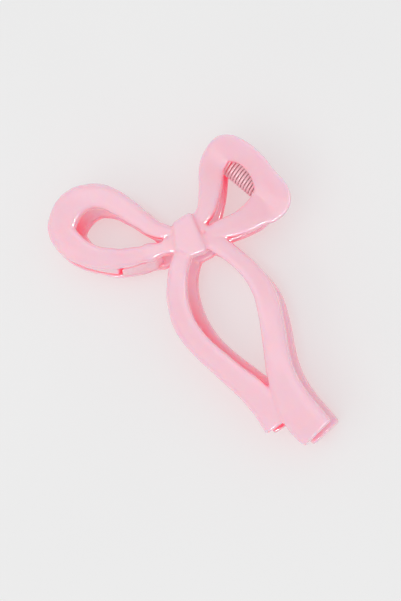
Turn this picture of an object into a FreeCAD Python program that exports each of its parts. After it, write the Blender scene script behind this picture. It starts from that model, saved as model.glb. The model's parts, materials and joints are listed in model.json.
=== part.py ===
"""Bow-shaped spring hair clip: two matching bow mouldings, hinged like an alligator's jaws.

It is modelled in the hinge frame: Y is the hinge axis, +X runs from the hinge past the
knot to the biting edge, and +Z points out of the front bow. At the end everything moves
so that the origin is the centre of the back knot's flat face, on which the clip lies.
Each bow is moulded in one piece. It is given as its knot, loops, tails, ears and teeth,
which meet face to face.
"""
import FreeCAD, Part
import math
import os

V = FreeCAD.Vector

# ---------------------------------------------------------------- driving dimensions, mm
FACE_HEIGHT = 14.6          # hinge axis to the flat outer face of each knot
SEAM_GAP = 0.3              # half of the gap that is left between the closed bows
PINCH = 1.3                 # how far the ribbons dip where the knot gathers them
PINCH_REACH = 10.0
BACK_YAW_DEG = 1.4          # the back bow is set round by this about the hinge's middle
BACK_TAIL_TRIM = 1.4        # the back bow's right tail is narrower by this, on its hinge side

# Outer face of the ribbons: height above the hinge axis against X.
CROWN = [(-16, 17.6), (-11, 15.2), (-7, 12.6), (-3, 10.0), (1, 8.6), (5, 8.8), (12, 11.0),
         (20, 13.0), (28, 14.2), (36, 14.6), (43, 13.9), (50, 11.7), (57, 8.7), (63, 6.3), (72, 4.2)]
# Ribbon thickness against X.
THICKNESS = [(-16, 3.6), (2, 3.8), (12, 5.0), (25, 5.8), (45, 5.8), (60, 5.0), (72, 4.5)]

# Ribbon centre lines seen from the front: X, Y and the ribbon's width there.
LEFT_LOOP = [(33.0, -5.8, 4.5), (36.3, -11.2, 6.2), (37.3, -19.5, 7.5), (37.9, -27.5, 8.4),
             (40.0, -35.4, 9.0), (45.1, -41.0, 9.6), (52.5, -43.4, 11.2), (60.2, -41.0, 11.4),
             (62.1, -33.0, 10.5), (59.8, -24.8, 8.5), (55.0, -17.2, 7.5), (49.0, -11.4, 6.4),
             (42.7, -6.4, 6.1), (36.2, -2.4, 4.6)]
RIGHT_LOOP = [(25.2, -1.5, 5.8), (19.1, -1.7, 6.7), (11.4, -6.4, 8.5), (4.3, -11.8, 9.7),
              (-2.6, -12.3, 10.4), (-6.1, -6.4, 8.5), (-6.2, 0.6, 8.3), (-4.3, 7.2, 9.9),
              (-0.1, 13.8, 15.3), (7.5, 12.9, 11.2), (13.8, 11.3, 9.3), (19.1, 8.4, 8.0),
              (25.6, 4.8, 6.6)]
# The back bow's right loop has no thumb tab.
BACK_RIGHT_LOOP = [(25.2, -1.7, 5.4), (19.1, -2.2, 5.8), (11.3, -6.7, 7.6), (4.3, -11.8, 9.5),
                   (-2.4, -12.0, 9.6), (-5.7, -6.4, 7.6), (-5.3, 0.0, 7.2), (-3.2, 6.6, 7.6),
                   (1.6, 11.2, 8.6), (7.8, 12.2, 8.4), (13.6, 10.2, 7.4), (18.9, 7.5, 6.4),
                   (25.6, 4.2, 5.8)]
# Its left loop has a wider lower band.
BACK_LEFT_LOOP = [(33.0, -5.8, 4.5), (36.3, -11.2, 6.2), (37.3, -19.5, 7.5), (37.9, -27.5, 8.4),
                  (40.0, -35.5, 8.8), (44.9, -41.3, 9.0), (52.5, -43.3, 10.9), (59.9, -40.7, 12.0),
                  (61.8, -33.0, 10.9), (60.0, -24.9, 8.9), (55.4, -16.9, 8.5), (49.2, -11.2, 6.9),
                  (42.7, -6.4, 6.1), (36.2, -2.4, 4.6)]
LEFT_TAIL = [(33.0, 1.6, 6.0), (39.4, 3.7, 7.0), (45.5, 6.9, 7.5), (51.8, 12.0, 8.4),
             (56.8, 19.6, 8.9), (58.9, 28.6, 8.7), (59.2, 38.0, 9.0), (59.2, 47.0, 9.5),
             (59.0, 55.6, 10.9), (60.2, 63.5, 11.4), (62.2, 70.6, 12.1)]
# The back bow's left tail is wider behind its teeth.
BACK_LEFT_TAIL = [(33.0, 1.3, 5.4), (39.6, 3.2, 6.0), (45.6, 6.7, 7.1), (51.5, 12.3, 9.2),
                  (56.1, 19.9, 10.4), (58.3, 28.7, 9.9), (58.8, 38.0, 9.7), (58.8, 47.0, 10.3),
                  (59.0, 55.6, 10.9), (60.2, 63.5, 11.4), (62.2, 70.6, 12.1)]
RIGHT_TAIL = [(27.6, 3.6, 6.2), (25.6, 10.6, 6.8), (25.0, 18.6, 6.6), (25.5, 27.0, 7.2),
              (28.3, 35.7, 8.4), (34.4, 44.3, 8.9), (41.9, 52.9, 9.4), (47.8, 60.6, 11.2),
              (52.0, 69.1, 13.7), (54.1, 77.0, 15.0), (54.8, 83.6, 14.1)]
TAIL_LIFT = 1.3             # the right tail crosses over the left tail by this
TAIL_LIFT_FROM_Y = 57.0     # where it starts to rise, and where it is all the way up
TAIL_LIFT_FULL_Y = 70.0

# Crease between the right loop and the right tail: a line from the knot to their notch.
CREASE = [(26.0, 3.5), (21.6, 12.6)]
CREASE_REACH = 50.0         # how far that line is drawn past the knot

KNOT_CORNERS = [(30.5, -8.0), (22.6, -5.4), (29.8, 9.2), (35.8, 5.8), (37.2, -0.7)]
BACK_KNOT_CORNERS = [(30.5, -8.0), (22.6, -5.4), (29.8, 7.2), (36.0, 4.4), (37.2, -0.7)]
KNOT_CENTRE = (30.0, 0.0)
KNOT_DEPTH = 6.4
KNOT_CORNER_ROUND = 1.8
KNOT_EDGE_ROUND = 1.2

SPRING_MEAN_R = 3.7
SPRING_WIRE_R = 0.5
SPRING_HALF_LENGTH = 7.9
SPRING_TURNS = 12           # whole turns, to which the legs' own angle is added
SPRING_LEG_ANGLE = 25.0     # each leg lies along a handle, this far off the mid-plane
SPRING_LEG_LENGTH = 9.0
PIN_R = 1.1
PIN_RUNNING_CLEARANCE = 0.05
EAR_R = 3.4
EAR_THICKNESS = 2.3
EAR_GAP = 0.3
FRONT_EAR_FROM = 9.1        # |Y| where the front bow's ears start, just past the spring
SPRING_BOSS_R = 2.7
SPRING_BOSS_LENGTH = 2.2
EAR_NECK_X = (-3.4, 1.0)    # the necks above the eyes stand clear of the loop's inner corner
EAR_ROOT = 1.0              # how far they reach into the loop before they are trimmed
BOSS_ROOT = 0.5             # and how far the spring bosses reach into the ears

LOOP_TOOTH_THICKNESS = 2.2
LOOP_TOOTH_INSET = 0.2      # the tooth walls stand this far inside the ribbon's edge
LOOP_TOOTH_SPAN = 7.0       # half the height over which the walls lean from bow to bow
FRONT_LOOP_TOOTH_Y = (-26.0, -14.6)
BACK_LOOP_TOOTH_Y = (-13.6, -5.2)
TAIL_TOOTH_PITCH = 6.0
TAIL_TOOTH_COUNT = 6
FRONT_TAIL_TOOTH_Y = 19.5   # first tooth of each bow's row: the rows interlock
BACK_TAIL_TOOTH_Y = 22.5
TAIL_TOOTH_ROOT_R = 1.25
TAIL_TOOTH_TIP_R = 0.85
TAIL_TOOTH_OFFSET = -1.4    # from the left tail's centre line towards the hinge
TOOTH_ROOT = 1.5            # how far a peg reaches into its tail before it is trimmed
TOOTH_CLEARANCE = 0.4       # tooth tip to the other bow
LOOP_TOOTH_STATIONS = (8.5, 12.5)   # stretch of the left loop that the tooth walls follow
REACH_X = (30, 75, 5)       # X from, to and step of the curves between which teeth reach

CORNER_POINTS = 4           # spans between the corners of a ribbon's section
SECTION_SQUARENESS = 0.47   # 1 gives an ellipse, 0 a rectangle
SECTIONS_PER_SPAN = 2
BEYOND = 100.0              # further than anything in the clip
FRONT, BACK = 1, -1


# ---------------------------------------------------------------- curves
def smooth(table, position):
    """Smooth curve through (position, value) pairs, level beyond both ends."""
    if position <= table[0][0]:
        return table[0][1]
    if position >= table[-1][0]:
        return table[-1][1]
    last = len(table) - 1
    i = max(k for k in range(last) if table[k][0] <= position)
    (p0, v0), (p1, v1) = table[i], table[i + 1]
    before, after = table[max(i - 1, 0)], table[min(i + 2, last)]
    span = p1 - p0
    slope0 = (v1 - before[1]) / (p1 - before[0]) * span
    slope1 = (after[1] - v0) / (after[0] - p0) * span
    t = (position - p0) / span
    return (v0 * (2 * t**3 - 3 * t**2 + 1) + slope0 * (t**3 - 2 * t**2 + t)
            + v1 * (3 * t**2 - 2 * t**3) + slope1 * (t**3 - t**2))


def curve_edge(points):
    curve = Part.BSplineCurve()
    curve.interpolate(Points=points)
    return curve.toShape()


def crown(x):
    return smooth(CROWN, x)


def inner(x):
    return max(crown(x) - smooth(THICKNESS, x), SEAM_GAP)


def turned(points, side):
    """Plan points of one bow: the back bow's are set round about the hinge's middle."""
    yaw = math.radians(BACK_YAW_DEG) if side == BACK else 0.0
    c, s = math.cos(yaw), math.sin(yaw)
    return [(x * c - y * s, x * s + y * c) + tuple(rest) for x, y, *rest in points]


def along(stations, u):
    """Centre point, unit normal and width at u, counted in stations from the first."""
    columns = [[(k, station[i]) for k, station in enumerate(stations)] for i in range(3)]
    x, y, width = (smooth(column, u) for column in columns)
    step = 0.01
    low, high = max(u - step, 0.0), min(u + step, len(stations) - 1.0)
    dx = smooth(columns[0], high) - smooth(columns[0], low)
    dy = smooth(columns[1], high) - smooth(columns[1], low)
    length = math.hypot(dx, dy)
    return (x, y), (dy / length, -dx / length), width


# ---------------------------------------------------------------- ribbons
def pinch(x, y, side):
    knot_x, knot_y = turned([KNOT_CENTRE], side)[0]
    distance = math.hypot(x - knot_x, y - knot_y)
    return PINCH * math.exp(-(distance / PINCH_REACH) ** 2)


def tail_lift(y):
    t = (y - TAIL_LIFT_FROM_Y) / (TAIL_LIFT_FULL_Y - TAIL_LIFT_FROM_Y)
    t = min(max(t, 0.0), 1.0)
    return TAIL_LIFT * t * t * (3 - 2 * t)


def squared(value):
    return math.copysign(abs(value) ** SECTION_SQUARENESS, value)


def section(centre, normal, width, side, lifted):
    """Softly rounded closed section, upright across the ribbon, from four curves."""
    points = []
    count = 4 * CORNER_POINTS
    for k in range(count):
        angle = 2 * math.pi * (k + 0.5 * CORNER_POINTS) / count
        across = 0.5 * width * squared(math.cos(angle))
        x = centre[0] + normal[0] * across
        y = centre[1] + normal[1] * across
        top = crown(x) - pinch(x, y, side) + (tail_lift(y) if lifted else 0.0)
        bottom = inner(x)
        z = 0.5 * (top + bottom) + 0.5 * (top - bottom) * squared(math.sin(angle))
        points.append(V(x, y, side * z))
    points.append(points[0])
    corners = range(0, count, CORNER_POINTS)
    return Part.Wire([curve_edge(points[k:k + CORNER_POINTS + 1]) for k in corners])


def ribbon(stations, side, lifted=False):
    stations = turned(stations, side)
    count = (len(stations) - 1) * SECTIONS_PER_SPAN
    wires = []
    for k in range(count + 1):
        centre, normal, width = along(stations, k / SECTIONS_PER_SPAN)
        wires.append(section(centre, normal, width, side, lifted))
    solid = Part.makeLoft(wires, True)
    if solid.Volume < 0:
        solid.reverse()
    return solid


def knot_prism(side, z_from, z_to):
    """Upright block with the knot's outline and rounded corners."""
    outline = KNOT_CORNERS if side == FRONT else BACK_KNOT_CORNERS
    corners = [V(x, y, side * z_from) for x, y in turned(outline, side)]
    face = Part.Face(Part.makePolygon(corners + corners[:1]))
    block = face.extrude(V(0, 0, side * (z_to - z_from)))
    upright = [e for e in block.Edges if e.BoundBox.ZLength > 0.5 * (z_to - z_from)]
    return block.makeFillet(KNOT_CORNER_ROUND, upright)


def knot(side):
    """Band gathered round the ribbons, with a flat outer face and rounded edges."""
    block = knot_prism(side, FACE_HEIGHT - KNOT_DEPTH, FACE_HEIGHT)
    rim = [e for e in block.Edges if abs(e.BoundBox.ZMin - side * FACE_HEIGHT) < 1e-4
           and abs(e.BoundBox.ZMax - side * FACE_HEIGHT) < 1e-4]
    return block.makeFillet(KNOT_EDGE_ROUND, rim)


def past_crease(side):
    """Everything on the right tail's side of its crease with the right loop."""
    (x0, y0), (x1, y1) = CREASE
    across, up = x1 - x0, y1 - y0
    length = math.hypot(across, up)
    across, up = across / length, up / length
    near = (x0 - CREASE_REACH * across, y0 - CREASE_REACH * up)
    far = (x0 + BEYOND * across, y0 + BEYOND * up)
    outline = [near, far, (far[0] + 2 * BEYOND, far[1]), (near[0] + 2 * BEYOND, near[1])]
    points = [V(x, y, -BEYOND) for x, y in turned(outline, side)]
    return Part.Face(Part.makePolygon(points + points[:1])).extrude(V(0, 0, 2 * BEYOND))


def narrowed(stations, trim):
    """Stations of a ribbon that is narrower by trim, all of it taken off its hinge side."""
    result = []
    for k, (x, y, width) in enumerate(stations):
        normal = along(stations, k)[1]
        shift = 0.5 * trim
        result.append((x + shift * normal[0], y + shift * normal[1], width - trim))
    return result


def ribbons_of(side):
    if side == FRONT:
        return {"right_loop": RIGHT_LOOP, "left_loop": LEFT_LOOP,
                "right_tail": RIGHT_TAIL, "left_tail": LEFT_TAIL}
    return {"right_loop": BACK_RIGHT_LOOP, "left_loop": BACK_LEFT_LOOP,
            "right_tail": narrowed(RIGHT_TAIL, BACK_TAIL_TRIM), "left_tail": BACK_LEFT_TAIL}


def trimmed(solid, *tools):
    """The solids that are left when each tool is cut away in turn."""
    for tool in tools:
        solid = solid.cut(tool)
    return solid.Solids


# ---------------------------------------------------------------- hinge
def cylinder_y(radius, y_from, y_to):
    return Part.makeCylinder(radius, y_to - y_from, V(0, y_from, 0), V(0, 1, 0))


def ear_pair(side, y_from, bore_r, boss_length):
    """Two lugs that hang from the right loop, each bored for the pin."""
    depth = inner(0.0) + EAR_ROOT
    lugs = []
    for end in (-1, 1):
        near, far = sorted((end * y_from, end * (y_from + EAR_THICKNESS)))
        lug = cylinder_y(EAR_R, near, far)
        neck_corner = V(EAR_NECK_X[0], near, min(0.0, side * depth))
        neck_length = EAR_NECK_X[1] - EAR_NECK_X[0]
        lug = lug.fuse(Part.makeBox(neck_length, EAR_THICKNESS, depth, neck_corner))
        if boss_length:
            tip, root = end * (y_from - boss_length), end * (y_from + BOSS_ROOT)
            lug = lug.fuse(cylinder_y(SPRING_BOSS_R, min(tip, root), max(tip, root)))
        lug = lug.cut(cylinder_y(bore_r, -BEYOND, BEYOND))
        lugs.append(lug.removeSplitter())
    return lugs


def spring():
    """Torsion spring round the pin, with a straight leg along the inside of each handle."""
    lean = math.radians(90.0 - SPRING_LEG_ANGLE)
    turn = 2 * math.pi * SPRING_TURNS + 2 * lean
    slope = 2 * SPRING_HALF_LENGTH / turn
    helix = Part.makeHelix(2 * math.pi * slope, 2 * SPRING_HALF_LENGTH, SPRING_MEAN_R)
    along_wire = V(0, SPRING_MEAN_R, slope)
    circle = Part.Circle(V(SPRING_MEAN_R, 0, 0), along_wire, SPRING_WIRE_R)
    solid = Part.Wire(helix.Edges).makePipeShell([Part.Wire([circle.toShape()])], True, True)
    for angle, sense in ((0.0, -1), (turn, 1)):
        start = V(SPRING_MEAN_R * math.cos(angle), SPRING_MEAN_R * math.sin(angle), slope * angle)
        direction = V(-SPRING_MEAN_R * math.sin(angle), SPRING_MEAN_R * math.cos(angle), slope) * sense
        leg = Part.makeCylinder(SPRING_WIRE_R, SPRING_LEG_LENGTH, start, direction)
        solid = solid.fuse(leg)
    # The helix was wound round Z from angle 0: lay its axis along Y, starting at -lean.
    solid.translate(V(0, 0, -SPRING_HALF_LENGTH))
    solid.rotate(V(0, 0, 0), V(0, 0, 1), -math.degrees(lean))
    solid.rotate(V(0, 0, 0), V(1, 0, 0), -90)
    return solid


# ---------------------------------------------------------------- teeth
def reach_of(side):
    """Block from the middle of one bow's ribbons to just short of the other's inner face."""
    xs = range(REACH_X[0], REACH_X[1] + 1, REACH_X[2])
    near = [V(x, -BEYOND, side * 0.5 * (crown(x) + inner(x))) for x in xs]
    far = [V(x, -BEYOND, -side * max(inner(x) - TOOTH_CLEARANCE, 0.0)) for x in reversed(xs)]
    lines = [curve_edge(near), Part.makeLine(near[-1], far[0]),
             curve_edge(far), Part.makeLine(far[-1], near[0])]
    return Part.Face(Part.Wire(lines)).extrude(V(0, 2 * BEYOND, 0))


def loop_tooth_outline(side):
    """Strip along the lower edge of one bow's left loop, at the mid-depth of its ribbon."""
    stations = turned(ribbons_of(side)["left_loop"], side)
    outer, inside = [], []
    first, last = LOOP_TOOTH_STATIONS
    for k in range(int(2 * first), int(2 * last) + 1):
        centre, normal, width = along(stations, 0.5 * k)
        reach = 0.5 * width - LOOP_TOOTH_INSET
        for line in (outer, inside):
            line.append(V(centre[0] + normal[0] * reach, centre[1] + normal[1] * reach,
                          side * LOOP_TOOTH_SPAN))
            reach -= LOOP_TOOTH_THICKNESS
    lines = [Part.makeLine(inside[0], outer[0]), curve_edge(outer),
             Part.makeLine(outer[-1], inside[-1]), curve_edge(inside[::-1])]
    return Part.Wire(lines)


def loop_tooth(side, y_range, loop):
    """Leaning wall from one bow's loop edge to just short of the other's."""
    wall = Part.makeLoft([loop_tooth_outline(BACK), loop_tooth_outline(FRONT)], True, True)
    low, high = y_range
    keep = Part.makeBox(BEYOND, high - low, 2 * BEYOND, V(0, low, -BEYOND))
    pieces = trimmed(wall.common(keep).common(reach_of(side)), loop)
    return max(pieces, key=lambda piece: piece.Volume)


def tail_teeth(side, first_y):
    """Row of tapered pegs down the left tail, between those of the other bow."""
    stations = turned(LEFT_TAIL, side)
    centre_line = [(y, x) for x, y, width in stations]
    pegs = []
    for k in range(TAIL_TOOTH_COUNT):
        y = first_y + k * TAIL_TOOTH_PITCH
        x = smooth(centre_line, y) + TAIL_TOOTH_OFFSET
        root = inner(x) + TOOTH_ROOT
        length = root + inner(x) - TOOTH_CLEARANCE
        pegs.append(Part.makeCone(TAIL_TOOTH_ROOT_R, TAIL_TOOTH_TIP_R, length,
                                  V(x, y, side * root), V(0, 0, -side)))
    return pegs


# ---------------------------------------------------------------- the clip
def bow(side, prefix):
    stations = ribbons_of(side)
    # The knot's outline, right through the bow: the ribbons stop at its walls.
    core = knot_prism(side, 0.0, 2 * FACE_HEIGHT)
    tail_side = past_crease(side)
    right_loop, = trimmed(ribbon(stations["right_loop"], side), core, tail_side)
    left_loop, = trimmed(ribbon(stations["left_loop"], side), core)
    tail = ribbon(stations["right_tail"], side, lifted=True).common(tail_side)
    right_tail, = trimmed(tail, core)
    left_tail, = trimmed(ribbon(stations["left_tail"], side), core, left_loop, right_tail)
    if side == FRONT:
        ears = ear_pair(side, FRONT_EAR_FROM, PIN_R + PIN_RUNNING_CLEARANCE, SPRING_BOSS_LENGTH)
        tooth_y, peg_y = FRONT_LOOP_TOOTH_Y, FRONT_TAIL_TOOTH_Y
    else:
        ears = ear_pair(side, FRONT_EAR_FROM + EAR_THICKNESS + EAR_GAP, PIN_R, 0.0)
        tooth_y, peg_y = BACK_LOOP_TOOTH_Y, BACK_TAIL_TOOTH_Y
    return {
        prefix + "_knot": knot(side).Solids,
        prefix + "_right_loop": [right_loop],
        prefix + "_left_loop": [left_loop],
        prefix + "_right_tail": [right_tail],
        prefix + "_left_tail": [left_tail],
        prefix + "_hinge_ears": sum((trimmed(lug, right_loop) for lug in ears), []),
        prefix + "_loop_tooth": [loop_tooth(side, tooth_y, left_loop)],
        prefix + "_tail_teeth": sum((trimmed(peg, left_tail) for peg in tail_teeth(side, peg_y)),
                                    []),
    }


def clip():
    pieces = bow(FRONT, "front")
    pieces.update(bow(BACK, "back"))
    pin_half = FRONT_EAR_FROM + 2 * EAR_THICKNESS + EAR_GAP
    pieces["hinge_pin"] = [cylinder_y(PIN_R, -pin_half, pin_half)]
    pieces["torsion_spring"] = spring().Solids
    knot_x, knot_y = turned([KNOT_CENTRE], BACK)[0]
    for solids in pieces.values():
        for solid in solids:
            solid.translate(V(-knot_x, -knot_y, FACE_HEIGHT))
    return pieces


def main():
    os.makedirs("parts", exist_ok=True)
    for name, solids in clip().items():
        shape = solids[0] if len(solids) == 1 else Part.makeCompound(solids)
        shape.exportStep("parts/%s.step" % name)


if __name__ == "__main__":
    main()
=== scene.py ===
"""Looks of the bow hair clip: two glossy pink bow mouldings, a coated torsion spring and a pin.

Each moulding is one seamless skin made from its CAD solids, with the knot, creases and edges
finished here. Everything is in metres, in the CAD frame.
"""
import json
import math

import bmesh
import bpy
import numpy as np
from mathutils import Matrix, Quaternion, Vector


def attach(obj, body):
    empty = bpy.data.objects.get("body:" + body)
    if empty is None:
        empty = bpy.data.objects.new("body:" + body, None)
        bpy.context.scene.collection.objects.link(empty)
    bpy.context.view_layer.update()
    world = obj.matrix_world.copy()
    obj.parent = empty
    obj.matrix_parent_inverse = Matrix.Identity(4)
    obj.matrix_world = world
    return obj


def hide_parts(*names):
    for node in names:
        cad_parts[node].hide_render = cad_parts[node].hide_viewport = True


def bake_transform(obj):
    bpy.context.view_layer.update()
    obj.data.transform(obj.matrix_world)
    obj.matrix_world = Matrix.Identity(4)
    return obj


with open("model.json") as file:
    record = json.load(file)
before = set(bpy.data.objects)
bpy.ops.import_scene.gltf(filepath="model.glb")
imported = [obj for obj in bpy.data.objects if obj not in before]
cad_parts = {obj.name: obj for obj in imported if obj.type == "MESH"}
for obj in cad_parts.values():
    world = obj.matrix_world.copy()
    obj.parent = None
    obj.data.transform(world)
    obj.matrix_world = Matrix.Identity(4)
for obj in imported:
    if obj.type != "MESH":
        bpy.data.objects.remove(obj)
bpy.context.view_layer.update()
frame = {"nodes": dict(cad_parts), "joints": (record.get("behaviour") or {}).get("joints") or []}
MM = 0.001

# ---------------------------------------------------------------- driving values
HINGE = Vector(frame["joints"][0]["pos_m"])
FACING = {"front": 1.0, "back": -1.0}
BACK_YAW = math.radians(1.4)    # the back bow is set round by this about the hinge's middle
WELD_DISTANCE = 1e-6
VOXEL = 0.32 * MM
SMOOTHING = 0.5
SMOOTH_PASSES = 12

# Where the skin is rounded more than elsewhere: X and Y from the hinge, and the reach, in mm.
SOFT_SPOTS = [(30.0, 0.0, 10.0), (54.8, 84.0, 12.0), (62.4, 71.0, 10.0)]
SOFT_PASSES = 16
SOFT_STEP = 0.5

# Webs that close the corners between a loop's bands beside the knot: X, Y and top, in mm.
WEBS = [(24.9, 2.1, 12.9), (35.2, -4.4, 13.9)]
WEB_RADIUS = 2.7
WEB_DEPTH = 7.0

SPRING_MEAN_R = 3.7 * MM
SPRING_WIRE_R = 0.5 * MM
SPRING_HALF_LENGTH = 7.9 * MM
SPRING_TURNS = 12
SPRING_LEG_ANGLE = math.radians(25.0)
SPRING_LEG_LENGTH = 9.0 * MM
STEPS_PER_TURN = 64
STEPS_PER_LEG = 12
WIRE_SIDES = 14
DOME_ANGLES = (75, 50, 25)      # degrees up from the wire's rim, the ring at the tip first

NOISE_LOW, NOISE_HIGH = 0.3, 0.7    # the stretch of a noise value that is used
OPEN_PINKS = (0.965, 0.70, 0.77, 1), (0.97, 0.73, 0.795, 1)
# Painted shade: a deep pink mixed in where ambient occlusion finds a recess, with a weak painted
# glow there too.
PAINTED_SHADE_PINK = (0.99, 0.10, 0.20, 1)
RECESS_GLOW = (1.0, 0.10, 0.16, 1)
RECESS_GLOW_STRENGTH = 0.20
NO_GLOW = (0.0, 0.0, 0.0, 1)
RECESS_REACH = 14.0 * MM        # how far a wall reaches to deepen its neighbours' pink as painted shade
RECESS_SAMPLES = 8
RECESS_DEEP, RECESS_OPEN = 0.32, 0.93
WIRE_PINKS = (0.90, 0.60, 0.66, 1), (0.94, 0.68, 0.73, 1)
PIN_GREYS = (0.50, 0.49, 0.48, 1), (0.62, 0.61, 0.60, 1)
FLOOR_GREYS = (0.405, 0.405, 0.405, 1), (0.42, 0.42, 0.42, 1)
WHITE = (1.0, 1.0, 1.0, 1)

FLOOR_HALF = 3.0
FLOOR_DROP = 0.05 * MM
WORLD_STRENGTH = 0.74
# Lamps: name, place to the right of and above the clip as the camera sees it, height, size in
# metres, watts, and whether it lights surfaces or is only seen in reflections.
LAMPS = [("key", -0.35, -0.25, 1.30, (1.2, 1.2), 4.5, True),
         ("glint_low", 0.22, -0.80, 0.72, (0.60, 0.36), 22.0, False),
         ("glint_right", 0.75, -0.42, 0.72, (0.30, 0.40), 12.0, False)]

# The camera's direction and scale were judged from the photograph; its distance is a guess.
CAMERA_AIM = HINGE + Vector((46.27, 16.80, 0.0)) * MM
CAMERA_AZIMUTH = math.radians(-165.19)
CAMERA_ELEVATION = math.radians(79.36)
CAMERA_ROLL = math.radians(-64.41)
CAMERA_DISTANCE = 599.2 * MM
CAMERA_LENS = 94.75
SENSOR_WIDTH = 36.0


# ---------------------------------------------------------------- mesh helpers
def link(name, mesh):
    obj = bpy.data.objects.new(name, mesh)
    bpy.context.scene.collection.objects.link(obj)
    return obj


def applied(obj):
    """Bakes an object's modifiers into its mesh."""
    depsgraph = bpy.context.evaluated_depsgraph_get()
    mesh = bpy.data.meshes.new_from_object(obj.evaluated_get(depsgraph))
    obj.modifiers.clear()
    old, obj.data = obj.data, mesh
    bpy.data.meshes.remove(old)
    return obj


def smooth_shaded(obj):
    for polygon in obj.data.polygons:
        polygon.use_smooth = True
    return obj


def softness(places):
    """1 within half the reach of a soft spot's middle, then falling evenly to 0 at its edge."""
    most = np.zeros(len(places))
    for x, y, reach in SOFT_SPOTS:
        away = np.hypot(places[:, 0] - HINGE.x - x * MM, places[:, 1] - HINGE.y - y * MM)
        near = np.clip(2.0 * (1.0 - away / (reach * MM)), 0.0, 1.0)
        most = np.maximum(most, near)
    return most


def vertex_places(mesh):
    """Every vertex's place, one row each."""
    places = np.empty(3 * len(mesh.vertices))
    mesh.vertices.foreach_get("co", places)
    return places.reshape(-1, 3)


def add_webs(shell, side):
    """Joins small rounded webs to a bow before its skin is made."""
    yaw = BACK_YAW if side == "back" else 0.0
    for x, y, top in WEBS:
        place = Matrix.Rotation(yaw, 3, "Z") @ Vector((x, y, 0.0))
        place.z = FACING[side] * (top - 0.5 * WEB_DEPTH)
        size = Vector((WEB_RADIUS, WEB_RADIUS, 0.5 * WEB_DEPTH)) * MM
        spot = Matrix.LocRotScale(HINGE + place * MM, None, size)
        bmesh.ops.create_icosphere(shell, subdivisions=3, radius=1.0, matrix=spot)


def soften(mesh):
    """Draws each vertex towards its neighbours' middle, by how soft its place is."""
    places = vertex_places(mesh)
    ends = np.empty(2 * len(mesh.edges), dtype=np.int64)
    mesh.edges.foreach_get("vertices", ends)
    first, second = ends[0::2], ends[1::2]
    count = len(places)
    neighbours = np.bincount(first, minlength=count) + np.bincount(second, minlength=count)
    weight = SOFT_STEP * softness(places)[:, None]
    for _ in range(SOFT_PASSES):
        middle = np.empty_like(places)
        for axis in range(3):
            line = places[:, axis]
            middle[:, axis] = (np.bincount(first, line[second], count)
                               + np.bincount(second, line[first], count)) / neighbours
        places += weight * (middle - places)
    mesh.vertices.foreach_set("co", places.ravel())
    mesh.update()


# ---------------------------------------------------------------- mouldings
def moulding(side):
    """One bow as a single skin, from its CAD solids."""
    members = sorted(name for name in frame["nodes"] if name.startswith(side + "_"))
    shell = bmesh.new()
    for name in members:
        shell.from_mesh(frame["nodes"][name].data)
    bmesh.ops.remove_doubles(shell, verts=shell.verts, dist=WELD_DISTANCE)
    add_webs(shell, side)
    mesh = bpy.data.meshes.new(side + "_bow")
    shell.to_mesh(mesh)
    shell.free()
    bow = link(side + "_bow", mesh)
    remesh = bow.modifiers.new("skin", "REMESH")
    remesh.mode = "VOXEL"
    remesh.voxel_size = VOXEL
    relax = bow.modifiers.new("relax", "SMOOTH")
    relax.factor = SMOOTHING
    relax.iterations = SMOOTH_PASSES
    applied(bow)
    soften(bow.data)
    smooth_shaded(bow)
    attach(bow, side + "_half")
    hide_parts(*members)
    return bow


# ---------------------------------------------------------------- spring
def spring_line():
    """Points along the wire: a leg, the coil, the other leg."""
    lean = math.radians(90.0) - SPRING_LEG_ANGLE
    turns = SPRING_TURNS + 2 * lean / (2 * math.pi)
    steps = STEPS_PER_TURN * SPRING_TURNS
    points = []
    for k in range(steps + 1):
        angle = 2 * math.pi * turns * k / steps
        height = SPRING_HALF_LENGTH * (2 * k / steps - 1)
        a = angle - lean
        # Laid along Y: the coil's own Y axis points down.
        points.append(Vector((SPRING_MEAN_R * math.cos(a), height, -SPRING_MEAN_R * math.sin(a))))
    first = (points[0] - points[1]).normalized()
    last = (points[-1] - points[-2]).normalized()
    legs = STEPS_PER_LEG
    head = [points[0] + first * SPRING_LEG_LENGTH * k / legs for k in range(legs, 0, -1)]
    tail = [points[-1] + last * SPRING_LEG_LENGTH * k / legs for k in range(1, legs + 1)]
    return [HINGE + p for p in head + points + tail]


def ring_places(line, radius):
    """Middle, direction and radius of each ring of a tube with domed ends."""
    dome = [(math.cos(t), math.sin(t)) for t in (math.radians(a) for a in DOME_ANGLES)]
    start = (line[0] - line[1]).normalized()
    end = (line[-1] - line[-2]).normalized()
    places = [(line[0] + start * radius * s, start * -1, radius * c) for c, s in dome]
    for k, point in enumerate(line):
        before, after = line[max(k - 1, 0)], line[min(k + 1, len(line) - 1)]
        places.append((point, (after - before).normalized(), radius))
    places += [(line[-1] + end * radius * s, end, radius * c) for c, s in reversed(dome)]
    return places


def tube(name, line, radius):
    """Round tube along a line, each ring turned as little as possible from the one before."""
    mesh = bpy.data.meshes.new(name)
    shell = bmesh.new()
    rings = []
    previous = None
    for point, direction, r in ring_places(line, radius):
        if previous is None:
            side = direction.orthogonal().normalized()
        else:
            side = (previous - previous.dot(direction) * direction).normalized()
        previous = side
        other = direction.cross(side)
        ring = []
        for j in range(WIRE_SIDES):
            a = 2 * math.pi * j / WIRE_SIDES
            ring.append(shell.verts.new(point + (side * math.cos(a) + other * math.sin(a)) * r))
        rings.append(ring)
    for low, high in zip(rings, rings[1:]):
        for j in range(WIRE_SIDES):
            k = (j + 1) % WIRE_SIDES
            shell.faces.new((low[j], low[k], high[k], high[j]))
    shell.faces.new(rings[0][::-1])
    shell.faces.new(rings[-1])
    bmesh.ops.recalc_face_normals(shell, faces=shell.faces)
    shell.to_mesh(mesh)
    shell.free()
    return smooth_shaded(link(name, mesh))


def spring():
    wire = tube("coil_spring", spring_line(), SPRING_WIRE_R)
    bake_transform(wire)
    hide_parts("torsion_spring")
    return wire


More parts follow.
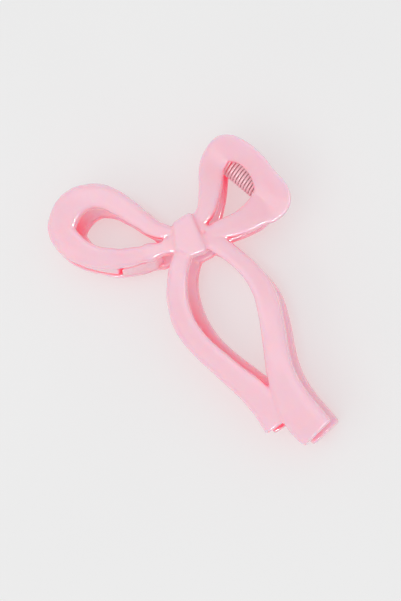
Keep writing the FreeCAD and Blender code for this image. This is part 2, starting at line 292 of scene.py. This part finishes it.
# ---------------------------------------------------------------- materials
def material(name):
    made = bpy.data.materials.new(name)
    made.use_nodes = True
    nodes = made.node_tree.nodes
    nodes.clear()
    shader = nodes.new("ShaderNodeBsdfPrincipled")
    output = nodes.new("ShaderNodeOutputMaterial")
    made.node_tree.links.new(shader.outputs["BSDF"], output.inputs["Surface"])
    return made, shader


def noise_value(made, scale, detail=3.0):
    nodes, links = made.node_tree.nodes, made.node_tree.links
    place = nodes.new("ShaderNodeTexCoord")
    grain = nodes.new("ShaderNodeTexNoise")
    grain.inputs["Scale"].default_value = scale
    grain.inputs["Detail"].default_value = detail
    links.new(place.outputs["Object"], grain.inputs["Vector"])
    return grain.outputs["Fac"]


def ramp(made, value, colours):
    """Colour that runs from the first of two to the second as a noise value rises."""
    nodes, links = made.node_tree.nodes, made.node_tree.links
    step = nodes.new("ShaderNodeValToRGB")
    for element, position, colour in zip(step.color_ramp.elements, (NOISE_LOW, NOISE_HIGH), colours):
        element.position = position
        element.color = colour
    links.new(value, step.inputs["Fac"])
    return step.outputs["Color"]


def ranged(made, value, low, high):
    """Number that runs from low to high as a noise value rises."""
    nodes, links = made.node_tree.nodes, made.node_tree.links
    spread = nodes.new("ShaderNodeMapRange")
    spread.inputs["From Min"].default_value = NOISE_LOW
    spread.inputs["From Max"].default_value = NOISE_HIGH
    spread.inputs["To Min"].default_value = low
    spread.inputs["To Max"].default_value = high
    links.new(value, spread.inputs["Value"])
    return spread.outputs["Result"]


def bump(made, shader, value, strength, distance):
    nodes, links = made.node_tree.nodes, made.node_tree.links
    relief = nodes.new("ShaderNodeBump")
    relief.inputs["Strength"].default_value = strength
    relief.inputs["Distance"].default_value = distance
    links.new(value, relief.inputs["Height"])
    links.new(relief.outputs["Normal"], shader.inputs["Normal"])


def painted_shade_mask(made):
    """Mask for the painted shade and glow: 0 deep in a recess, 1 out in the open."""
    nodes, links = made.node_tree.nodes, made.node_tree.links
    occlusion = nodes.new("ShaderNodeAmbientOcclusion")
    occlusion.samples = RECESS_SAMPLES
    occlusion.inputs["Distance"].default_value = RECESS_REACH
    depth = nodes.new("ShaderNodeMapRange")
    depth.inputs["From Min"].default_value = RECESS_DEEP
    depth.inputs["From Max"].default_value = RECESS_OPEN
    links.new(occlusion.outputs["AO"], depth.inputs["Value"])
    return depth.outputs["Result"]


def mixer(made, value, first_colour):
    """Colour mix that starts at one colour; the caller gives the other one in B."""
    mix = made.node_tree.nodes.new("ShaderNodeMix")
    mix.data_type = "RGBA"
    mix.inputs["A"].default_value = first_colour
    made.node_tree.links.new(value, mix.inputs["Factor"])
    return mix


def pink_plastic(name):
    """Glossy injection-moulded plastic, with painted shade: a deeper pink in its recesses."""
    made, shader = material(name)
    links = made.node_tree.links
    shade_and_glow_mask = painted_shade_mask(made)
    # The open pink is mixed towards a deep pink where occlusion finds a recess: painted shade.
    pink = mixer(made, shade_and_glow_mask, PAINTED_SHADE_PINK)
    links.new(ramp(made, noise_value(made, 60.0, 2.0), OPEN_PINKS), pink.inputs["B"])
    links.new(pink.outputs["Result"], shader.inputs["Base Color"])
    # A weak emission in the recesses stands in for light that comes through the walls.
    glow = mixer(made, shade_and_glow_mask, RECESS_GLOW)
    glow.inputs["B"].default_value = NO_GLOW
    links.new(glow.outputs["Result"], shader.inputs["Emission Color"])
    shader.inputs["Emission Strength"].default_value = RECESS_GLOW_STRENGTH
    links.new(ranged(made, noise_value(made, 300.0), 0.16, 0.24), shader.inputs["Roughness"])
    shader.inputs["Coat Weight"].default_value = 0.6
    shader.inputs["Coat Tint"].default_value = (1.0, 0.80, 0.85, 1)
    shader.inputs["Coat Roughness"].default_value = 0.04
    shader.inputs["Coat IOR"].default_value = 1.45
    shader.inputs["IOR"].default_value = 1.45
    shader.inputs["Specular IOR Level"].default_value = 0.25
    shader.inputs["Subsurface Weight"].default_value = 1.0
    shader.inputs["Subsurface Radius"].default_value = (1.0, 0.16, 0.22)
    shader.inputs["Subsurface Scale"].default_value = 6.0 * MM
    bump(made, shader, noise_value(made, 90.0, 1.0), 0.08, 0.4 * MM)
    return made


def coated_wire():
    made, shader = material("coated_wire")
    links = made.node_tree.links
    base = ramp(made, noise_value(made, 400.0), WIRE_PINKS)
    links.new(base, shader.inputs["Base Color"])
    links.new(ranged(made, noise_value(made, 900.0), 0.2, 0.34), shader.inputs["Roughness"])
    shader.inputs["IOR"].default_value = 1.5
    bump(made, shader, noise_value(made, 1500.0), 0.15, 0.05 * MM)
    return made


def pin_steel():
    made, shader = material("pin_steel")
    links = made.node_tree.links
    base = ramp(made, noise_value(made, 700.0), PIN_GREYS)
    links.new(base, shader.inputs["Base Color"])
    links.new(ranged(made, noise_value(made, 1200.0), 0.22, 0.38), shader.inputs["Roughness"])
    shader.inputs["Metallic"].default_value = 1.0
    bump(made, shader, noise_value(made, 2500.0), 0.1, 0.02 * MM)
    return made


def floor_card():
    """Plain matt card that gives off some light, like a light table."""
    made, shader = material("floor_card")
    links = made.node_tree.links
    base = ramp(made, noise_value(made, 8.0), FLOOR_GREYS)
    links.new(base, shader.inputs["Base Color"])
    shader.inputs["Emission Color"].default_value = WHITE
    shader.inputs["Emission Strength"].default_value = 0.46
    shader.inputs["Roughness"].default_value = 0.85
    shader.inputs["Specular IOR Level"].default_value = 0.0
    return made


def dress(obj, made):
    obj.data.materials.clear()
    obj.data.materials.append(made)


# ---------------------------------------------------------------- studio
def floor():
    mesh = bpy.data.meshes.new("floor")
    half = FLOOR_HALF
    corners = [(-half, -half, 0), (half, -half, 0), (half, half, 0), (-half, half, 0)]
    mesh.from_pydata(corners, [], [(0, 1, 2, 3)])
    obj = link("floor", mesh)
    obj.location.z = -FLOOR_DROP
    dress(obj, floor_card())


def camera_rotation():
    """Looks down at the clip from the camera's azimuth and elevation, then rolls."""
    a, e = CAMERA_AZIMUTH, CAMERA_ELEVATION
    back = Vector((math.sin(a) * math.cos(e), -math.cos(a) * math.cos(e), math.sin(e)))
    level = (-back).to_track_quat("-Z", "Y")
    return level @ Quaternion((0, 0, 1), CAMERA_ROLL)


def screen_axes():
    """Right and up as the camera sees them."""
    rotation = camera_rotation()
    return rotation @ Vector((1, 0, 0)), rotation @ Vector((0, 1, 0))


def camera():
    data = bpy.data.cameras.new("camera")
    data.lens = CAMERA_LENS
    data.sensor_width = SENSOR_WIDTH
    data.clip_start = 0.01
    data.clip_end = 20.0
    obj = bpy.data.objects.new("camera", data)
    bpy.context.scene.collection.objects.link(obj)
    rotation = camera_rotation()
    obj.rotation_mode = "QUATERNION"
    obj.rotation_quaternion = rotation
    obj.location = CAMERA_AIM + rotation @ Vector((0, 0, CAMERA_DISTANCE))
    bpy.context.scene.camera = obj


def softbox(name, right, up, height, size, watts, lights_surfaces):
    """Rectangular lamp that faces the clip."""
    across, upward = screen_axes()
    data = bpy.data.lights.new(name, "AREA")
    data.shape = "RECTANGLE"
    data.size, data.size_y = size
    data.energy = watts
    obj = bpy.data.objects.new(name, data)
    bpy.context.scene.collection.objects.link(obj)
    obj.location = CAMERA_AIM + across * right + upward * up + Vector((0, 0, height))
    obj.rotation_mode = "QUATERNION"
    obj.rotation_quaternion = (CAMERA_AIM - obj.location).to_track_quat("-Z", "Y")
    obj.visible_diffuse = lights_surfaces


def studio():
    for lamp in LAMPS:
        softbox(*lamp)
    world = bpy.data.worlds.new("studio")
    world.use_nodes = True
    world.node_tree.nodes["Background"].inputs["Color"].default_value = WHITE
    world.node_tree.nodes["Background"].inputs["Strength"].default_value = WORLD_STRENGTH
    bpy.context.scene.world = world
    bpy.context.scene.view_settings.view_transform = "Standard"


# ---------------------------------------------------------------- the clip
plastic = {side: pink_plastic(side + "_plastic") for side in ("front", "back")}
for side in ("front", "back"):
    dress(moulding(side), plastic[side])
dress(spring(), coated_wire())
dress(frame["nodes"]["hinge_pin"], pin_steel())
floor()
studio()
camera()
